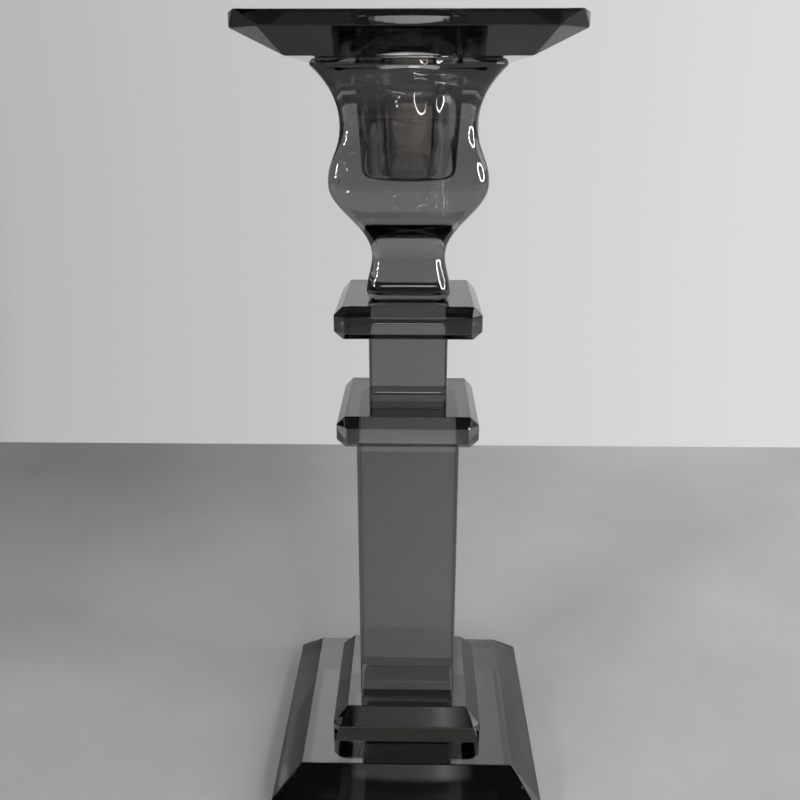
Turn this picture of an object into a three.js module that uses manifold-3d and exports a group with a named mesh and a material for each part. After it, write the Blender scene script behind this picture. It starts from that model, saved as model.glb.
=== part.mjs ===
// Glass candlestick: eight solid pieces of smoke glass stacked on one upright axis and
// joined face to face by seven thin films of clear bonding adhesive. Millimetres, +Z up.
// The origin is at the centre of the base slab's underside. Every piece is square in plan.
// Heights are multiples of an eighth of a millimetre, so that bonded faces meet exactly.

import * as THREE from 'three';
import { ConvexGeometry } from 'three/addons/geometries/ConvexGeometry.js';
import { mergeVertices } from 'three/addons/utils/BufferGeometryUtils.js';
import Module from 'manifold-3d';

const wasm = await Module();
wasm.setup();

// Driving dimensions

const bondThickness = 0.25;
const bondInset = 0.5; // each film stops this far inside the smaller face that it joins

const base = {
  width: 75, height: 14, cornerCut: 1.75,
  topInset: 8, topDrop: 7.5,
  footInset: 0.5, footRise: 0.5,
};
const step = {
  width: 42.5, height: 9.5, cornerCut: 2,
  topInset: 4, topDrop: 4.25,
  footInset: 0.25, footRise: 0.25,
};
const knop = {
  width: 37, height: 8.375, cornerCut: 2.75,
  topInset: 2.25, topDrop: 2.375,
  footInset: 2.25, footRise: 1.875,
};
const column = { width: 27, height: 80.75, arris: 0.25 };
const neck = { width: 20.25, height: 20.125, arris: 0.25 };
const plate = {
  width: 74.5, height: 8.5, cornerCut: 7,
  topInset: 2, topDrop: 0.25,
  footInset: 10.75, footRise: 5.25,
  holeRadius: 13.25,
};

const cup = {
  height: 56.375,
  edgeRadius: 2.8, // vertical edges of the square section
  footHalf: 9.2,
  footRoll: { half: 10.6, z: 2.25 },
  waist: { half: 9.2, z: 10.5 },
  belly: { half: 18.9, z: 29.25 },
  throat: { half: 16.15, z: 42.25 },
  rim: { half: 22, z: 55 },
  lipHalf: 21.4,
};
const well = { mouthRadius: 12.9, floorRadius: 11.7, depth: 27.125, floorFillet: 1.5 };

// Mesh fineness

const edgeSteps = 5; // facets on each rounded vertical edge of the cup
const profileSteps = 6; // rows on each stretch of the cup's outline
const roundSteps = 48; // facets round the well and the plate's hole
const filletSteps = 4;

// Materials

function smokeGlass() {
  return new THREE.MeshStandardMaterial({ color: 0x625f5b, roughness: 0.04, metalness: 0 });
}

function clearAdhesive() {
  return new THREE.MeshStandardMaterial({ color: 0xd9dcd7, roughness: 0.15, metalness: 0 });
}

// Booleans

function toManifold(geometry) {
  const bare = geometry.clone();
  bare.deleteAttribute('normal');
  bare.deleteAttribute('uv');
  const merged = mergeVertices(bare, 1e-5);
  return new wasm.Manifold(new wasm.Mesh({
    numProp: 3,
    vertProperties: new Float32Array(merged.attributes.position.array),
    triVerts: new Uint32Array(merged.index.array),
  }));
}

function subtract(body, cutter) {
  const mesh = toManifold(body).subtract(toManifold(cutter)).getMesh();
  const geometry = new THREE.BufferGeometry();
  geometry.setAttribute('position', new THREE.BufferAttribute(mesh.vertProperties, 3));
  geometry.setIndex(new THREE.BufferAttribute(mesh.triVerts, 1));
  geometry.computeVertexNormals();
  return geometry;
}

// Ground and polished blocks

// A square in plan, with its four corners cut off where cornerCut is not zero.
function squareRing(half, cornerCut, z) {
  const near = half - cornerCut;
  const points = [];
  for (const [sx, sy] of [[1, 1], [-1, 1], [-1, -1], [1, -1]]) {
    points.push(new THREE.Vector3(sx * near, sy * half, z));
    if (cornerCut > 0) points.push(new THREE.Vector3(sx * half, sy * near, z));
  }
  return points;
}

// The corner cuts run out to a point at each corner of the top and bottom faces.
function bevelledBlock({ width, height, cornerCut, topInset, topDrop, footInset, footRise }) {
  const half = width / 2;
  return new ConvexGeometry([
    ...squareRing(half - footInset, 0, 0),
    ...squareRing(half, cornerCut, footRise),
    ...squareRing(half, cornerCut, height - topDrop),
    ...squareRing(half - topInset, 0, height),
  ]);
}

function plainPillar({ width, height, arris }) {
  const half = width / 2;
  return new ConvexGeometry([
    ...squareRing(half, arris, 0),
    ...squareRing(half, arris, height),
  ]);
}

function drilledPlate() {
  const overrun = 1;
  const drill = new THREE.CylinderGeometry(
    plate.holeRadius, plate.holeRadius, plate.height + 2 * overrun, roundSteps);
  drill.rotateX(Math.PI / 2);
  drill.translate(0, 0, plate.height / 2);
  return subtract(bevelledBlock(plate), drill);
}

// Moulded cup

// Half width against height, from the foot up to the lip.
function cupOutline() {
  const { footHalf, footRoll, waist, belly, throat, rim, lipHalf, height } = cup;
  const outline = new THREE.Path();
  outline.moveTo(footHalf, 0);
  outline.quadraticCurveTo(footRoll.half, 0.3, footRoll.half, footRoll.z);
  outline.bezierCurveTo(
    footRoll.half, footRoll.z + 2.4, waist.half, waist.z - 2.6, waist.half, waist.z);
  outline.bezierCurveTo(
    waist.half, waist.z + 7.5, belly.half, belly.z - 6.5, belly.half, belly.z);
  outline.bezierCurveTo(
    belly.half, belly.z + 5.75, throat.half, throat.z - 6, throat.half, throat.z);
  outline.bezierCurveTo(
    throat.half, throat.z + 8, rim.half - 0.2, rim.z - 0.6, rim.half, rim.z);
  outline.quadraticCurveTo(rim.half + 0.1, height - 0.5, lipHalf, height);
  return outline.getPoints(profileSteps);
}

function roundedSquareRing(half, z) {
  const centre = half - cup.edgeRadius;
  const ring = [];
  for (let corner = 0; corner < 4; corner += 1) {
    const start = corner * Math.PI / 2;
    const cx = centre * Math.SQRT2 * Math.cos(start + Math.PI / 4);
    const cy = centre * Math.SQRT2 * Math.sin(start + Math.PI / 4);
    for (let i = 0; i <= edgeSteps; i += 1) {
      const angle = start + (i / edgeSteps) * Math.PI / 2;
      ring.push([cx + cup.edgeRadius * Math.cos(angle), cy + cup.edgeRadius * Math.sin(angle), z]);
    }
  }
  return ring;
}

// A closed skin over a stack of rings that all have the same number of points.
function loft(rings) {
  const count = rings[0].length;
  const position = rings.flat(2);
  const index = [];
  for (let row = 0; row + 1 < rings.length; row += 1) {
    for (let i = 0; i < count; i += 1) {
      const next = (i + 1) % count;
      const [a, b] = [row * count + i, row * count + next];
      index.push(a, b, b + count, a, b + count, a + count);
    }
  }
  const top = (rings.length - 1) * count;
  for (let i = 1; i + 1 < count; i += 1) {
    index.push(0, i + 1, i);
    index.push(top, top + i, top + i + 1);
  }
  const geometry = new THREE.BufferGeometry();
  geometry.setAttribute('position', new THREE.Float32BufferAttribute(position, 3));
  geometry.setIndex(index);
  return geometry;
}

// The candle well: a tapered round pocket with a rounded floor corner, open at the top.
function wellCutter() {
  const { mouthRadius, floorRadius, depth, floorFillet } = well;
  const floorZ = cup.height - depth;
  const overrun = 1;
  const profile = [new THREE.Vector2(0, floorZ)];
  for (let i = 0; i <= filletSteps; i += 1) {
    const angle = (i / filletSteps) * Math.PI / 2;
    profile.push(new THREE.Vector2(
      floorRadius - floorFillet * (1 - Math.sin(angle)),
      floorZ + floorFillet * (1 - Math.cos(angle))));
  }
  profile.push(new THREE.Vector2(mouthRadius, cup.height));
  profile.push(new THREE.Vector2(mouthRadius, cup.height + overrun));
  profile.push(new THREE.Vector2(0, cup.height + overrun));
  const cutter = new THREE.LatheGeometry(profile, roundSteps);
  cutter.rotateX(Math.PI / 2);
  return cutter;
}

function mouldedCup() {
  const rings = cupOutline().map(({ x, y }) => roundedSquareRing(x, y));
  return subtract(loft(rings), wellCutter());
}

// Bond films

function squareFilm(faceWidth) {
  const side = faceWidth - 2 * bondInset;
  const film = new THREE.BoxGeometry(side, side, bondThickness);
  film.translate(0, 0, bondThickness / 2);
  return film;
}

// The film under the plate stays clear of the well's mouth.
function ringFilm(faceWidth) {
  const overrun = 1;
  const radius = plate.holeRadius + bondInset;
  const clearance = new THREE.CylinderGeometry(radius, radius, 2 * overrun, roundSteps);
  clearance.rotateX(Math.PI / 2);
  return subtract(squareFilm(faceWidth), clearance);
}

// Assembly

const footFace = ({ width, footInset }) => width - 2 * footInset;

const candlestick = new THREE.Group();
let stackTop = 0;

function stack(name, geometry, material, height) {
  const mesh = new THREE.Mesh(geometry, material);
  mesh.name = name;
  mesh.position.z = stackTop;
  candlestick.add(mesh);
  stackTop += height;
}

function stackGlass(name, geometry, height) {
  stack(name, geometry, smokeGlass(), height);
}

function stackBond(name, geometry) {
  stack(name, geometry, clearAdhesive(), bondThickness);
}

stackGlass('base_slab', bevelledBlock(base), base.height);
stackBond('base_bond', squareFilm(footFace(step)));
stackGlass('step_slab', bevelledBlock(step), step.height);
stackBond('column_foot_bond', squareFilm(column.width));
stackGlass('column', plainPillar(column), column.height);
stackBond('column_head_bond', squareFilm(column.width));
stackGlass('lower_knop', bevelledBlock(knop), knop.height);
stackBond('neck_foot_bond', squareFilm(neck.width));
stackGlass('neck', plainPillar(neck), neck.height);
stackBond('neck_head_bond', squareFilm(neck.width));
stackGlass('upper_knop', bevelledBlock(knop), knop.height);
stackBond('cup_foot_bond', squareFilm(2 * cup.footHalf));
stackGlass('candle_cup', mouldedCup(), cup.height);
stackBond('cup_rim_bond', ringFilm(2 * cup.lipHalf));
stackGlass('drip_plate', drilledPlate(), plate.height);

export default candlestick;
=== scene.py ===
# Looks for the smoke-glass candlestick: eight blocks of smoke glass, joined face to face
# by seven thin films of clear adhesive. Every piece is rebuilt here as a finer mesh, at
# the place and size of its CAD node. Lengths are in metres; millimetres carry "* MM".
#
# Where two blocks are bonded there is no optical surface between them. Those faces carry
# the face attribute "bond", which sets the glass's index of refraction to 1 there, so a
# ray goes straight on into the film and the next block.

import math

import bmesh
import bpy
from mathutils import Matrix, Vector, noise


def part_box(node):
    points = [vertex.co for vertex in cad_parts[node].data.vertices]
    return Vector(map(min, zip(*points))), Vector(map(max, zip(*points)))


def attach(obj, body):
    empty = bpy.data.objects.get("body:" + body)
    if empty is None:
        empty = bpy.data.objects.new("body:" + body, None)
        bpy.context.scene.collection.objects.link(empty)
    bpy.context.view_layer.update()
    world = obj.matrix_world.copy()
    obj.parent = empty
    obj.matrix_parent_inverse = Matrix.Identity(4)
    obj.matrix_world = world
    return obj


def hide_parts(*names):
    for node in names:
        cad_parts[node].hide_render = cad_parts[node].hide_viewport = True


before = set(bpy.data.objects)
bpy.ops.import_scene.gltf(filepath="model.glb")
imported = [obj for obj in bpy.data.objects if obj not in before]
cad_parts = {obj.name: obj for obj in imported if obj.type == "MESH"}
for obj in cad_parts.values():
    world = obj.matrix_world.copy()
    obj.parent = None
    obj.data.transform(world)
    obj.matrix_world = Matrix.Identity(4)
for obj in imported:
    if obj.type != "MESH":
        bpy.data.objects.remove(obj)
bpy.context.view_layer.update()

MM = 0.001
GAP = 0.006 * MM  # clearance between bonded faces, which no ray is bent by
ARRIS = 0.22 * MM  # width of the polished arris along each edge of a block
FILM_CORNER = 0.8 * MM

# Shapes that the CAD nodes' boxes don't give, as in the CAD model
BASE = {"cut": 1.75, "top_inset": 8, "top_drop": 7.5, "foot_inset": 0.5, "foot_rise": 0.5}
STEP = {"cut": 2, "top_inset": 4, "top_drop": 4.25, "foot_inset": 0.25, "foot_rise": 0.25}
KNOP = {"cut": 2.75, "top_inset": 2.25, "top_drop": 2.375,
        "foot_inset": 2.25, "foot_rise": 1.875}
PLATE = {"cut": 7, "top_inset": 2, "top_drop": 0.25, "foot_inset": 10.75, "foot_rise": 5.25}
PLATE_HOLE = 13.25
FILM_HOLE = 13.75
CUP_EDGE = 2.8
CUP_FOOT = 9.2
CUP_LIP = 21.4
CUP_HEIGHT = 56.375
WELL_MOUTH = 12.9
WELL_FLOOR = 11.7
WELL_DEPTH = 27.125
WELL_FILLET = 1.5


# Outlines

def square_outline(half, cut=0.0):
    """A square, with its corners cut off at 45 degrees where cut is not zero."""
    near = half - cut
    points = []
    for sx, sy in ((1, 1), (-1, 1), (-1, -1), (1, -1)):
        pair = [(sx * half, sy * near), (sx * near, sy * half)]
        points += pair if sx * sy > 0 else pair[::-1]
    return points if cut > 0 else points[::2]


def rounded_outline(half, radius, arc_steps=10, flat_steps=8):
    """A square with round corners. The point count doesn't depend on the size."""
    centre = half - radius
    points = []
    for corner in range(4):
        start = corner * math.pi / 2
        turn = complex(math.cos(start), math.sin(start))
        for i in range(arc_steps + 1):
            angle = i / arc_steps * math.pi / 2
            points.append(turn * complex(centre + radius * math.cos(angle),
                                         centre + radius * math.sin(angle)))
        for i in range(1, flat_steps):
            along = 1 - 2 * i / flat_steps
            points.append(turn * complex(along * centre, half))
    return [(p.real, p.imag) for p in points]


def circle_outline(radius, like):
    """A circle whose points lie at the same bearings as those of another outline."""
    angles = [math.atan2(y, x) for x, y in like]
    return [(radius * math.cos(a), radius * math.sin(a)) for a in angles]


# Meshes

def new_piece(name, bm, node, smooth=False):
    bmesh.ops.recalc_face_normals(bm, faces=bm.faces)
    mesh = bpy.data.meshes.new(name)
    bm.to_mesh(mesh)
    bm.free()
    for face in mesh.polygons:
        face.use_smooth = smooth
    piece = bpy.data.objects.new(name, mesh)
    bpy.context.scene.collection.objects.link(piece)
    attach(piece, "root")
    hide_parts(node)
    return piece


def bond_layer(bm):
    return bm.faces.layers.float.get("bond") or bm.faces.layers.float.new("bond")


def flat_face(bm, z):
    """The widest face that lies flat at height z."""
    level = [f for f in bm.faces if all(abs(v.co.z - z) < 1e-7 for v in f.verts)]
    return max(level, key=lambda f: f.calc_area())


def ring_of(bm, outline, z):
    return [bm.verts.new((x, y, z)) for x, y in outline]


def edges_of(bm, ring):
    closed = ring[1:] + ring[:1]
    return [bm.edges.get((a, b)) or bm.edges.new((a, b))
            for a, b in zip(ring, closed, strict=True)]


def bridge(bm, lower, upper):
    faces = []
    for i in range(len(lower)):
        j = (i + 1) % len(lower)
        faces.append(bm.faces.new((lower[i], lower[j], upper[j], upper[i])))
    return faces


def cut_open(bm, z, outline):
    """Opens the flat face at height z along an outline, and returns the outline's ring."""
    face = flat_face(bm, z)
    rim = list(face.edges)
    bmesh.ops.delete(bm, geom=[face], context="FACES_ONLY")
    ring = ring_of(bm, outline, z)
    bmesh.ops.triangle_fill(bm, edges=rim + edges_of(bm, ring), use_beauty=True)
    return ring


def mark_bond(bm, z, outline):
    """Marks the part of the flat face at height z that lies inside an outline."""
    bond = bond_layer(bm)
    bm.faces.new(cut_open(bm, z, outline))[bond] = 1.0


def ground_block(node, cut, top_inset, top_drop, foot_inset, foot_rise):
    """A square block with a bevelled top, and corner cuts that run out to a point."""
    low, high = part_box(node)
    half = high.x
    rings = [
        (half - foot_inset * MM, 0, low.z),
        (half, cut * MM, low.z + foot_rise * MM),
        (half, cut * MM, high.z - top_drop * MM),
        (half - top_inset * MM, 0, high.z),
    ]
    return polished_hull(rings)


def polished_hull(rings, arris=ARRIS):
    bm = bmesh.new()
    for half, cut, z in rings:
        for x, y in square_outline(half, cut):
            bm.verts.new((x, y, z))
    bmesh.ops.convex_hull(bm, input=bm.verts)
    bmesh.ops.dissolve_limit(
        bm, angle_limit=math.radians(0.5), verts=bm.verts, edges=bm.edges)
    bmesh.ops.bevel(bm, geom=bm.edges, offset=arris, segments=2, profile=0.5,
                    affect="EDGES", clamp_overlap=True)
    return bm


def film_outline(film, corner=FILM_CORNER):
    _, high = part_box(film)
    return rounded_outline(high.x, corner)


# Bonded blocks

def block_piece(node, shape, film_below=None, film_above=None):
    bm = ground_block(node, **shape)
    low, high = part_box(node)
    if film_below:
        mark_bond(bm, low.z, film_outline(film_below))
    else:
        underside = bm.faces.layers.float.new("underside")
        flat_face(bm, low.z)[underside] = 1.0
    if film_above:
        mark_bond(bm, high.z, film_outline(film_above, film_corner(film_above)))
    return new_piece(node + "_glass", bm, node)


def film_corner(film):
    return 2.3 * MM if film.startswith("cup") else FILM_CORNER


def pillar_piece(node, film_below, film_above):
    low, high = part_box(node)
    rings = [(high.x, 0, low.z), (high.x, 0, high.z)]
    bm = polished_hull(rings)
    mark_bond(bm, low.z, film_outline(film_below))
    mark_bond(bm, high.z, film_outline(film_above))
    return new_piece(node + "_glass", bm, node)


def plate_piece():
    node = "drip_plate"
    bm = ground_block(node, **PLATE)
    bond = bond_layer(bm)
    well = bm.faces.layers.float.new("well")
    low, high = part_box(node)
    film = film_outline("cup_rim_bond", film_corner("cup_rim_bond"))
    outer = cut_open(bm, low.z, film)
    inner = ring_of(bm, circle_outline(FILM_HOLE * MM, film), low.z)
    for face in bridge(bm, outer, inner):
        face[bond] = 1.0
    chamfer = 0.3 * MM
    wide, narrow = PLATE_HOLE * MM + chamfer, PLATE_HOLE * MM
    rings = [inner]
    for radius, z in ((wide, low.z), (narrow, low.z + chamfer), (narrow, high.z - chamfer)):
        rings.append(ring_of(bm, circle_outline(radius, film), z))
    rings.append(cut_open(bm, high.z, circle_outline(wide, film)))
    bridge(bm, rings[0], rings[1])
    for below, above in zip(rings[1:], rings[2:], strict=False):
        for face in bridge(bm, below, above):
            face[well] = 1.0
    return new_piece(node + "_glass", bm, node)


# Moulded cup

def quadratic(a, b, c, t):
    return tuple((1 - t) ** 2 * p + 2 * t * (1 - t) * q + t * t * r
                 for p, q, r in zip(a, b, c, strict=True))


def cubic(a, b, c, d, t):
    return tuple((1 - t) ** 3 * p + 3 * t * (1 - t) ** 2 * q + 3 * t * t * (1 - t) * r
                 + t ** 3 * s for p, q, r, s in zip(a, b, c, d, strict=True))


def cup_outline(steps=16):
    """Half width against height above the cup's foot, in millimetres."""
    roll, waist, belly = (10.6, 2.25), (9.2, 10.5), (18.9, 29.25)
    throat, rim = (16.15, 42.25), (22, 55)
    curves = [
        lambda t: quadratic((CUP_FOOT, 0), (roll[0], 0.3), roll, t),
        lambda t: cubic(roll, (roll[0], roll[1] + 2.4), (waist[0], waist[1] - 2.6), waist, t),
        lambda t: cubic(waist, (waist[0], waist[1] + 7.5), (belly[0], belly[1] - 6.5), belly, t),
        lambda t: cubic(belly, (belly[0], belly[1] + 5.75), (throat[0], throat[1] - 6), throat, t),
        lambda t: cubic(throat, (throat[0], throat[1] + 8), (rim[0] - 0.2, rim[1] - 0.6), rim, t),
        lambda t: quadratic(rim, (rim[0] + 0.1, CUP_HEIGHT - 0.5), (CUP_LIP, CUP_HEIGHT), t),
    ]
    points = [(CUP_FOOT, 0.0)]
    for curve, count in zip(curves, (6, steps, steps, steps, steps, 6), strict=True):
        points += [curve((i + 1) / count) for i in range(count)]
    return points


def well_profile(rows=16):
    """Radius against height above the cup's foot, from the mouth down to the floor."""
    floor = CUP_HEIGHT - WELL_DEPTH
    points = [(WELL_MOUTH + 0.45, CUP_HEIGHT), (WELL_MOUTH + 0.13, CUP_HEIGHT - 0.13),
              (WELL_MOUTH, CUP_HEIGHT - 0.45)]
    bottom = floor + WELL_FILLET
    top = CUP_HEIGHT - 0.45
    for i in range(1, rows + 1):
        share = i / rows
        points.append((WELL_MOUTH + (WELL_FLOOR - WELL_MOUTH) * share,
                       top + (bottom - top) * share))
    for i in range(1, 9):
        angle = i / 8 * math.pi / 2
        points.append((WELL_FLOOR - WELL_FILLET * (1 - math.cos(angle)),
                       bottom - WELL_FILLET * math.sin(angle)))
    return points


def rippled(x, y, z, depth):
    """A point moved a little, as the skin of pressed glass is never quite true."""
    spot = Vector((x, y, z)) / (11 * MM)
    out = Vector((x, y, 0)).normalized()
    return Vector((x, y, z)) + out * depth * noise.noise(spot)


def cup_piece():
    node = "candle_cup"
    low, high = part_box(node)
    bm = bmesh.new()
    bond = bond_layer(bm)
    well = bm.faces.layers.float.new("well")
    corner = film_corner("cup_rim_bond")
    guide = rounded_outline(CUP_LIP * MM, CUP_EDGE * MM)

    rings = []
    foot_film = film_outline("cup_foot_bond", film_corner("cup_foot_bond"))
    rings.append(ring_of(bm, foot_film, low.z))
    for half, z in cup_outline():
        ring = []
        ripple = 0.07 * MM * math.sin(math.pi * z / CUP_HEIGHT)
        for x, y in rounded_outline(half * MM, CUP_EDGE * MM):
            ring.append(bm.verts.new(rippled(x, y, low.z + z * MM, ripple)))
        rings.append(ring)
    rings.append(ring_of(bm, film_outline("cup_rim_bond", corner), high.z))
    film_row = len(rings)
    rings.append(ring_of(bm, circle_outline(FILM_HOLE * MM, guide), high.z))
    for radius, z in well_profile():
        ripple = 0.05 * MM * math.sin(math.pi * (CUP_HEIGHT - z) / WELL_DEPTH)
        ring = []
        for x, y in circle_outline(radius * MM, guide):
            ring.append(bm.verts.new(rippled(x, y, low.z + z * MM, ripple)))
        rings.append(ring)
    for row in range(1, len(rings)):
        for face in bridge(bm, rings[row - 1], rings[row]):
            face[bond] = float(row == film_row)
            face[well] = float(row > film_row)
    bm.faces.new(rings[0][::-1])[bond] = 1.0
    bm.faces.new(rings[-1])[well] = 1.0
    piece = new_piece("candle_cup_glass", bm, node, smooth=True)
    flat = [f for f in piece.data.polygons if abs(f.normal.z) > 0.9999 and f.center.z > high.z - MM]
    for face in flat + [f for f in piece.data.polygons if f.center.z < low.z + 1e-7]:
        face.use_smooth = False
    return piece


# Bond films

def film_piece(film, hole=0.0):
    low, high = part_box(film)
    bm = bmesh.new()
    bond = bond_layer(bm)
    corner = film_corner(film)
    bottom, top = low.z + GAP, high.z - GAP
    middle = (low.z + high.z) / 2
    outline = rounded_outline(high.x, corner)
    tucked = rounded_outline(high.x - 0.08 * MM, corner)
    rings = [ring_of(bm, outline, bottom), ring_of(bm, tucked, middle),
             ring_of(bm, outline, top)]
    bridge(bm, rings[0], rings[1])
    bridge(bm, rings[1], rings[2])
    if hole:
        holes = [ring_of(bm, circle_outline(radius, outline), z)
                 for radius, z in ((hole, top), (hole + 0.08 * MM, middle), (hole, bottom))]
        bridge(bm, holes[0], holes[1])
        bridge(bm, holes[1], holes[2])
        flats = bridge(bm, rings[2], holes[0]) + bridge(bm, holes[2], rings[0])
    else:
        flats = [bm.faces.new(rings[2]), bm.faces.new(rings[0][::-1])]
    for face in flats:
        face[bond] = 1.0
    return new_piece(film + "_film", bm, film)


# Materials

GLEAM = 0.05  # share of light mirrored by the skin from outside, beside the glass's own
INNER_GLEAM = 0.30  # the same from inside
UNDERSIDE_GLEAM = 0.50  # from inside, at the base slab's underside
WELL_INNER = 0.8  # share of light that the well's and the plate hole's walls let past
WELL_SKIN = (0.84, 0.79, 0.72, 1)
SMEAR = 0.05  # roughness of the faint smudges on a ground block


class Nodes:
    """Short calls for building one material's or the world's node tree."""

    def __init__(self, owner):
        owner.use_nodes = True
        self.tree = owner.node_tree
        self.tree.nodes.clear()

    def add(self, kind, **inputs):
        node = self.tree.nodes.new("ShaderNode" + kind)
        for key, value in inputs.items():
            self.put(node, key.replace("_", " "), value)
        return node

    def put(self, node, key, value):
        socket = node.inputs[int(key[2:])] if key.startswith("in") and key[2:].isdigit() \
            else node.inputs[key]
        if isinstance(value, bpy.types.NodeSocket):
            self.tree.links.new(value, socket)
        else:
            socket.default_value = value

    def math(self, operation, a, b=0.0, c=0.0, clamp=False):
        node = self.tree.nodes.new("ShaderNodeMath")
        node.operation = operation
        node.use_clamp = clamp
        for i, value in enumerate((a, b, c)):
            self.put(node, f"in{i}", value)
        return node.outputs[0]

    def noise(self, scale, detail=2.0, roughness=0.5, vector=None):
        node = self.add("TexNoise", Scale=scale, Detail=detail, Roughness=roughness)
        if vector is not None:
            self.put(node, "Vector", vector)
        return node.outputs["Fac"]

    def ramp(self, fac, *stops):
        node = self.tree.nodes.new("ShaderNodeValToRGB")
        self.put(node, "Fac", fac)
        elements = node.color_ramp.elements
        while len(elements) < len(stops):
            elements.new(0.5)
        for element, (place, grey) in zip(elements, stops, strict=True):
            element.position = place
            element.color = (grey, grey, grey, 1) if isinstance(grey, (int, float)) else grey
        return node.outputs["Color"]


def bonded(nodes):
    attribute = nodes.tree.nodes.new("ShaderNodeAttribute")
    attribute.attribute_name = "bond"
    return attribute.outputs["Fac"]


def smoke_glass(name, skin, inner, colour, density, ripple_scale, ripple, smear=SMEAR,
                outer_gleam=GLEAM):
    """Glass smoked on its skin and, less, through its body. The skin tints what passes it,
    and takes all but a share, inner, of the light that meets it from inside."""
    material = bpy.data.materials.new(name)
    nodes = Nodes(material)
    place = nodes.add("TexCoord").outputs["Object"]
    bond = bonded(nodes)
    open_face = nodes.math("SUBTRACT", 1.0, bond)

    ior = nodes.math("MULTIPLY_ADD", bond, -0.52, 1.52)
    well = nodes.tree.nodes.new("ShaderNodeAttribute")
    well.attribute_name = "well"
    tint = nodes.add("MixRGB", Fac=well.outputs["Fac"], Color1=skin, Color2=WELL_SKIN)
    tint = nodes.add("MixRGB", Fac=bond, Color1=tint.outputs[0], Color2=(1, 1, 1, 1)).outputs[0]
    smudge = nodes.ramp(nodes.noise(55.0, 4.0, 0.6, place), (0.5, 0.0), (0.75, smear))
    wipe = nodes.ramp(nodes.noise(900.0, 2.0, 0.5, place), (0.6, 0.0), (0.8, 0.03))
    roughness = nodes.math("MULTIPLY", nodes.math("ADD", smudge, wipe), open_face)
    bump = nodes.add("Bump", Strength=ripple, Distance=0.0002,
                     Height=nodes.noise(ripple_scale, 2.0, 0.5, place))
    glass = nodes.add("BsdfPrincipled", Base_Color=tint, IOR=ior,
                      Roughness=roughness, Transmission_Weight=1.0,
                      Normal=bump.outputs["Normal"])
    underside = nodes.tree.nodes.new("ShaderNodeAttribute")
    underside.attribute_name = "underside"
    inner_gleam = nodes.math("MULTIPLY_ADD", underside.outputs["Fac"],
                             UNDERSIDE_GLEAM - INNER_GLEAM, INNER_GLEAM)
    inside = nodes.add("NewGeometry").outputs["Backfacing"]
    outside = nodes.math("SUBTRACT", 1.0, inside)
    gleam = nodes.math("ADD", nodes.math("MULTIPLY", outside, outer_gleam),
                       nodes.math("MULTIPLY", inside, inner_gleam))
    gleam = nodes.math("MULTIPLY", gleam, open_face)
    mirror = nodes.add("BsdfGlossy", Color=(1, 1, 1, 1), Roughness=roughness,
                       Normal=bump.outputs["Normal"])
    coated = nodes.add("MixShader", in0=gleam, in1=glass.outputs[0], in2=mirror.outputs[0])
    loss = nodes.math("MULTIPLY_ADD", well.outputs["Fac"], WELL_INNER - inner, inner)
    loss = nodes.math("SUBTRACT", 1.0, loss)
    taken = nodes.math("MULTIPLY", nodes.math("MULTIPLY", inside, open_face), loss)
    soot = nodes.add("BsdfDiffuse", Color=(0, 0, 0, 1))
    surface = nodes.add("MixShader", in0=taken, in1=coated.outputs[0], in2=soot.outputs[0])
    volume = nodes.add("VolumeAbsorption", Color=colour, Density=density)
    nodes.add("OutputMaterial", Surface=surface.outputs[0], Volume=volume.outputs[0])
    return material


def adhesive():
    """Clear glue: invisible where it fills the joint, with a few tiny round bubbles."""
    material = bpy.data.materials.new("bond_adhesive_clear")
    nodes = Nodes(material)
    place = nodes.add("TexCoord").outputs["Object"]
    bond = bonded(nodes)
    cells = nodes.add("TexVoronoi", Vector=place, Scale=420.0)
    chosen = nodes.add("SeparateXYZ", Vector=cells.outputs["Color"]).outputs[0]
    size = nodes.math("MULTIPLY", nodes.math("SUBTRACT", chosen, 0.8), 0.6)
    seed = nodes.math("LESS_THAN", cells.outputs["Distance"], size)
    filled = nodes.math("MULTIPLY", bond, nodes.math("SUBTRACT", 1.0, seed))
    ior = nodes.math("MULTIPLY_ADD", filled, -0.48, 1.48)
    roughness = nodes.math("MULTIPLY_ADD", filled, -0.12, 0.12)
    glass = nodes.add("BsdfPrincipled", Base_Color=(1, 1, 1, 1), IOR=ior,
                      Roughness=roughness, Transmission_Weight=1.0)
    nodes.add("OutputMaterial", Surface=glass.outputs[0])
    return material


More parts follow.
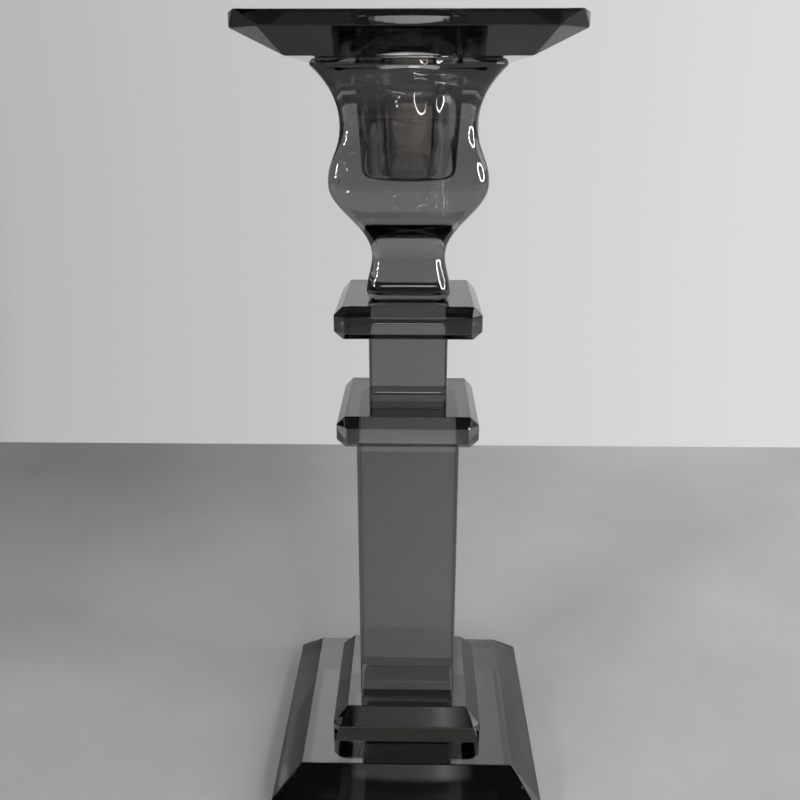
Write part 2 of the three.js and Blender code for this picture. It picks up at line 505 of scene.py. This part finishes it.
def floor_material():
    material = bpy.data.materials.new("floor_matt")
    nodes = Nodes(material)
    place = nodes.add("TexCoord").outputs["Object"]
    x, y, _ = nodes.add("SeparateXYZ", Vector=place).outputs
    x = nodes.math("MINIMUM", nodes.math("MAXIMUM", x, -0.15), 0.15)
    depth = nodes.math("MINIMUM", nodes.math("MAXIMUM", y, -0.12), 0.2)
    # The floor's colour is darker toward the back, and toward the left, most of all at the back.
    tone = nodes.math("MULTIPLY_ADD", depth, -1.2, 0.95)
    lean = nodes.math("MULTIPLY_ADD", depth, 7.0, 0.9)
    tone = nodes.math("MULTIPLY_ADD", x, lean, tone)
    # Painted shade: the floor's colour darkens toward the front, from 0.13 m to 0.45 m in front of
    # the object.
    front = nodes.add("MapRange", Value=y, From_Min=-0.45, From_Max=-0.13,
                      To_Min=0.35, To_Max=1.0)
    tone = nodes.math("MULTIPLY", tone, front.outputs[0])
    # Painted shadow: the floor's colour is made far darker under the middle of the stack, within
    # about 20 to 26 mm of its axis, where the glass above shades it.
    reach = nodes.math("MAXIMUM", nodes.math("ABSOLUTE", x), nodes.math("ABSOLUTE", y))
    shade_below = nodes.add("MapRange", Value=reach, From_Min=0.020, From_Max=0.026,
                            To_Min=0.1, To_Max=1.0)
    tone = nodes.math("MULTIPLY", tone, shade_below.outputs[0])
    cloud = nodes.ramp(nodes.noise(9.0, 5.0, 0.6, place),
                       (0.3, (0.40, 0.40, 0.39, 1)), (0.7, (0.48, 0.48, 0.47, 1)))
    shade = nodes.add("VectorMath", in0=cloud)
    shade.operation = "SCALE"
    nodes.put(shade, "Scale", tone)
    surface = nodes.add("BsdfPrincipled", Base_Color=shade.outputs[0], Roughness=0.55)
    nodes.add("OutputMaterial", Surface=surface.outputs[0])
    return material


# The object

blocks = [
    block_piece("base_slab", BASE, film_above="base_bond"),
    block_piece("step_slab", STEP, "base_bond", "column_foot_bond"),
    pillar_piece("column", "column_foot_bond", "column_head_bond"),
    block_piece("lower_knop", KNOP, "column_head_bond", "neck_foot_bond"),
    pillar_piece("neck", "neck_foot_bond", "neck_head_bond"),
    block_piece("upper_knop", KNOP, "neck_head_bond", "cup_foot_bond"),
    plate_piece(),
]
cup = cup_piece()
films = [film_piece(name) for name in (
    "base_bond", "column_foot_bond", "column_head_bond", "neck_foot_bond",
    "neck_head_bond", "cup_foot_bond")]
films.append(film_piece("cup_rim_bond", hole=FILM_HOLE * MM))

# Each piece's skin tint, and the body's own colour
SKIN = (0.86, 0.84, 0.81, 1)
WARM_SKIN = (0.88, 0.84, 0.79, 1)
COOL_SKIN = (0.78, 0.81, 0.85, 1)
LOW_KNOP_SKIN = (0.68, 0.665, 0.64, 1)
BASE_SKIN = (0.51, 0.505, 0.49, 1)
COLUMN_SKIN = (0.44, 0.43, 0.41, 1)
BODY = (0.40, 0.38, 0.36, 1)

GROUND = (60.0, 0.02)  # ripple scale and strength of a ground and polished face
MOULDED = (170.0, 0.055)  # and of a moulded one

base_glass = smoke_glass("smoke_glass_base", BASE_SKIN, 0.50, BODY, 14.0, *GROUND)
column_glass = smoke_glass("smoke_glass_column", COLUMN_SKIN, 0.63, BODY, 3.0, *GROUND)
plate_glass = smoke_glass("smoke_glass_plate", COOL_SKIN, 0.22, BODY, 13.0, *GROUND,
                          outer_gleam=0.02)
knop_glass = smoke_glass("smoke_glass_knop", SKIN, 0.185, BODY, 14.0, *GROUND,
                         outer_gleam=0.09)
low_knop_glass = smoke_glass("smoke_glass_low_knop", LOW_KNOP_SKIN, 0.24, BODY, 34.0, *GROUND,
                             outer_gleam=0.115)
neck_glass = smoke_glass("smoke_glass_neck", WARM_SKIN, 0.38, BODY, 16.0, *GROUND)
moulded = smoke_glass("smoke_glass_moulded", SKIN, 0.38, BODY, 12.0, *MOULDED, smear=0.012)
glue = adhesive()
block_glasses = (base_glass, base_glass, column_glass, low_knop_glass, neck_glass, knop_glass,
                 plate_glass)
for piece, glass in zip(blocks, block_glasses, strict=True):
    piece.data.materials.append(glass)
cup.data.materials.append(moulded)
for piece in films:
    piece.data.materials.append(glue)

# Floor

FLOOR_BACK = 0.237
FLOOR_FRONT = -0.9
FLOOR_SIDE = 1.3
bm = bmesh.new()
corners = ((-FLOOR_SIDE, FLOOR_FRONT), (FLOOR_SIDE, FLOOR_FRONT),
           (FLOOR_SIDE, FLOOR_BACK), (-FLOOR_SIDE, FLOOR_BACK))
bm.faces.new([bm.verts.new((x, y, -0.02 * MM)) for x, y in corners])
floor_mesh = bpy.data.meshes.new("floor")
bm.to_mesh(floor_mesh)
bm.free()
floor = bpy.data.objects.new("floor", floor_mesh)
bpy.context.scene.collection.objects.link(floor)
floor.data.materials.append(floor_material())

# Room light: a pale wall behind, darker above, to the left and in front of the object

PANEL_GLOW = 0.9
LAMP_GLOW = 60.0
RING_HALF_WIDTH, RING_HALF_HEIGHT = 0.47, 0.33  # tangents of the angles that it spans
RING_THICKNESS = 0.05  # half of it, as a share of the ring's radius
SMALL_LAMP_RADIUS = math.radians(2.2)
SMALL_LAMPS = ((-131, 9), (-136, 17), (-133, 26), (-140, 33), (-125, 22))  # bearing, height
BACKDROP_LEAST = 0.32

world = bpy.data.worlds.new("room")
bpy.context.scene.world = world
nodes = Nodes(world)
bearing = nodes.add("TexCoord").outputs["Generated"]
side, depth, height = nodes.add("SeparateXYZ", Vector=bearing).outputs
ahead = nodes.math("MULTIPLY_ADD", depth, 0.5, 0.5)
wall = nodes.ramp(ahead, (0.0, 0.13), (0.45, 0.17), (0.62, 0.32), (0.76, 0.53), (0.84, 0.60))
upper = nodes.ramp(ahead, (0.0, 0.04), (0.4, 0.04), (0.6, 0.20), (0.8, 0.60), (1.0, 0.60))
blend = nodes.add("MapRange", Value=height, From_Min=0.25, From_Max=0.6)
mix = nodes.add("MixRGB", Fac=blend.outputs[0], Color1=wall, Color2=upper)
slope = nodes.ramp(nodes.math("MULTIPLY_ADD", side, 0.5, 0.5),
                   (0.0, 0.04), (0.1, 0.08), (0.2, 0.18), (0.265, 0.5), (0.29, 0.63),
                   (0.71, 0.97), (1.0, 0.9))
room = nodes.add("VectorMath", in0=mix.outputs[0])
room.operation = "SCALE"
nodes.put(room, "Scale", nodes.math("MULTIPLY", slope, 1.25))

# A wide bright panel, halfway up at the back, dim right behind the stack and to the right
panel = nodes.math("MULTIPLY", nodes.ramp(height, (0.44, 0.0), (0.50, 1.0), (0.74, 1.0),
                                          (0.80, 0.0)),
                   nodes.ramp(nodes.math("ABSOLUTE", side), (0.044, 0.15), (0.054, 1.0),
                              (0.30, 1.0), (0.38, 0.0)))
panel = nodes.math("MULTIPLY", panel, nodes.math("GREATER_THAN", depth, 0.0))
fade = nodes.ramp(nodes.math("MULTIPLY_ADD", side, 5.0, 0.5), (0.5, 1.0), (0.9, 0.3))
panel = nodes.math("MULTIPLY", panel, nodes.math("MULTIPLY", fade, PANEL_GLOW))

# A barred ceiling lamp, above and in front of the object
bars = nodes.ramp(height, (0.705, 0.0), (0.712, 1.0), (0.738, 1.0), (0.746, 0.15), (0.759, 0.15),
                  (0.7597, 1.0), (0.7609, 1.0), (0.7616, 0.05), (0.766, 0.05), (0.7672, 1.0),
                  (0.80, 1.0), (0.82, 0.0))
spread = nodes.ramp(nodes.math("MULTIPLY_ADD", side, 5.0, 0.5),
                    (0.17, 0.0), (0.21, 0.36), (0.5, 0.42), (0.6, 0.55), (0.67, 1.05),
                    (0.75, 0.45), (0.83, 0.0))
ceiling = nodes.math("MULTIPLY", nodes.math("MULTIPLY", bars, spread),
                     nodes.math("LESS_THAN", depth, 0.0))
panel = nodes.math("ADD", panel, ceiling)

# A ring lamp, high on the right
LAMP_BEARING = math.radians(-46)
LAMP_HEIGHT = math.radians(18)
LAMP_WAY = Vector((math.cos(LAMP_BEARING) * math.cos(LAMP_HEIGHT),
                   math.sin(LAMP_BEARING) * math.cos(LAMP_HEIGHT),
                   math.sin(LAMP_HEIGHT)))
LAMP_ACROSS = Vector((0, 0, 1)).cross(LAMP_WAY).normalized()
LAMP_UP = LAMP_WAY.cross(LAMP_ACROSS)


def along(vector):
    node = nodes.add("VectorMath", in0=bearing, in1=tuple(vector))
    node.operation = "DOT_PRODUCT"
    return node.outputs["Value"]


near = along(LAMP_WAY)
u = nodes.math("DIVIDE", along(LAMP_ACROSS), near)
v = nodes.math("DIVIDE", along(LAMP_UP), near)
u = nodes.math("DIVIDE", u, RING_HALF_WIDTH)
v = nodes.math("DIVIDE", v, RING_HALF_HEIGHT)
reach = nodes.math("SQRT", nodes.math("ADD", nodes.math("POWER", u, 2.0),
                                      nodes.math("POWER", v, 2.0)))
off_ring = nodes.math("ABSOLUTE", nodes.math("SUBTRACT", reach, 1.0))
on_ring = nodes.math("LESS_THAN", off_ring, RING_THICKNESS)
on_ring = nodes.math("MULTIPLY", on_ring, nodes.math("GREATER_THAN", near, 0.2))
glow = nodes.math("MULTIPLY_ADD", on_ring, LAMP_GLOW, panel)

# A few small lamps, high on the left
for lamp_bearing, lamp_height in SMALL_LAMPS:
    turn, rise = math.radians(lamp_bearing), math.radians(lamp_height)
    way = Vector((math.cos(turn) * math.cos(rise), math.sin(turn) * math.cos(rise),
                  math.sin(rise)))
    spot = nodes.math("GREATER_THAN", along(way), math.cos(SMALL_LAMP_RADIUS))
    glow = nodes.math("MULTIPLY_ADD", spot, LAMP_GLOW, glow)

# The lamps light the object and show in its glass, and stay out of the backdrop
backdrop = nodes.tree.nodes.new("ShaderNodeLightPath").outputs["Is Camera Ray"]
glow = nodes.math("MULTIPLY", glow, nodes.math("SUBTRACT", 1.0, backdrop))
total = nodes.add("VectorMath", in0=room.outputs[0], in1=glow)
total.operation = "ADD"
# The backdrop is nowhere darker than a mid grey, so that dark glass stands out from it
least = nodes.add("VectorMath", in0=total.outputs[0],
                  in1=nodes.math("MULTIPLY", backdrop, BACKDROP_LEAST))
least.operation = "MAXIMUM"
background = nodes.add("Background", Color=least.outputs[0], Strength=1.0)
nodes.add("OutputWorld", Surface=background.outputs[0])


def softbox(name, place, aim, width, height, power):
    light = bpy.data.lights.new(name, "AREA")
    light.shape = "RECTANGLE"
    light.size = width
    light.size_y = height
    light.energy = power
    box = bpy.data.objects.new(name, light)
    box.location = place
    way = Vector(aim) - Vector(place)
    box.rotation_euler = way.to_track_quat("-Z", "Y").to_euler()
    bpy.context.scene.collection.objects.link(box)
    return box


softbox("softbox_right", (0.75, 0.1, 0.55), (0.2, 0.1, 0), 0.5, 0.35, 0.7)
overhead = softbox("softbox_overhead", (-0.05, 0.35, 0.6), (0.0, 0.05, 0), 0.6, 0.4, 0.3)
overhead.visible_glossy = False
overhead.visible_transmission = False

# Camera

camera = bpy.data.objects.new("camera", bpy.data.cameras.new("camera"))
camera.data.lens = 38.58
camera.data.sensor_width = 36
camera.data.clip_start = 0.01
camera.location = (1.62 * MM, -222.38 * MM, 191.61 * MM)
camera.rotation_euler = (math.radians(70.353), 0, math.radians(1.002))
bpy.context.scene.collection.objects.link(camera)
bpy.context.scene.camera = camera

scene = bpy.context.scene
scene.view_settings.view_transform = "Standard"
scene.cycles.max_bounces = 32
scene.cycles.transmission_bounces = 32
scene.cycles.glossy_bounces = 16
scene.cycles.diffuse_bounces = 4
scene.cycles.transparent_max_bounces = 16
scene.cycles.sample_clamp_indirect = 8.0
scene.cycles.blur_glossy = 0.2
scene.cycles.use_denoising = True
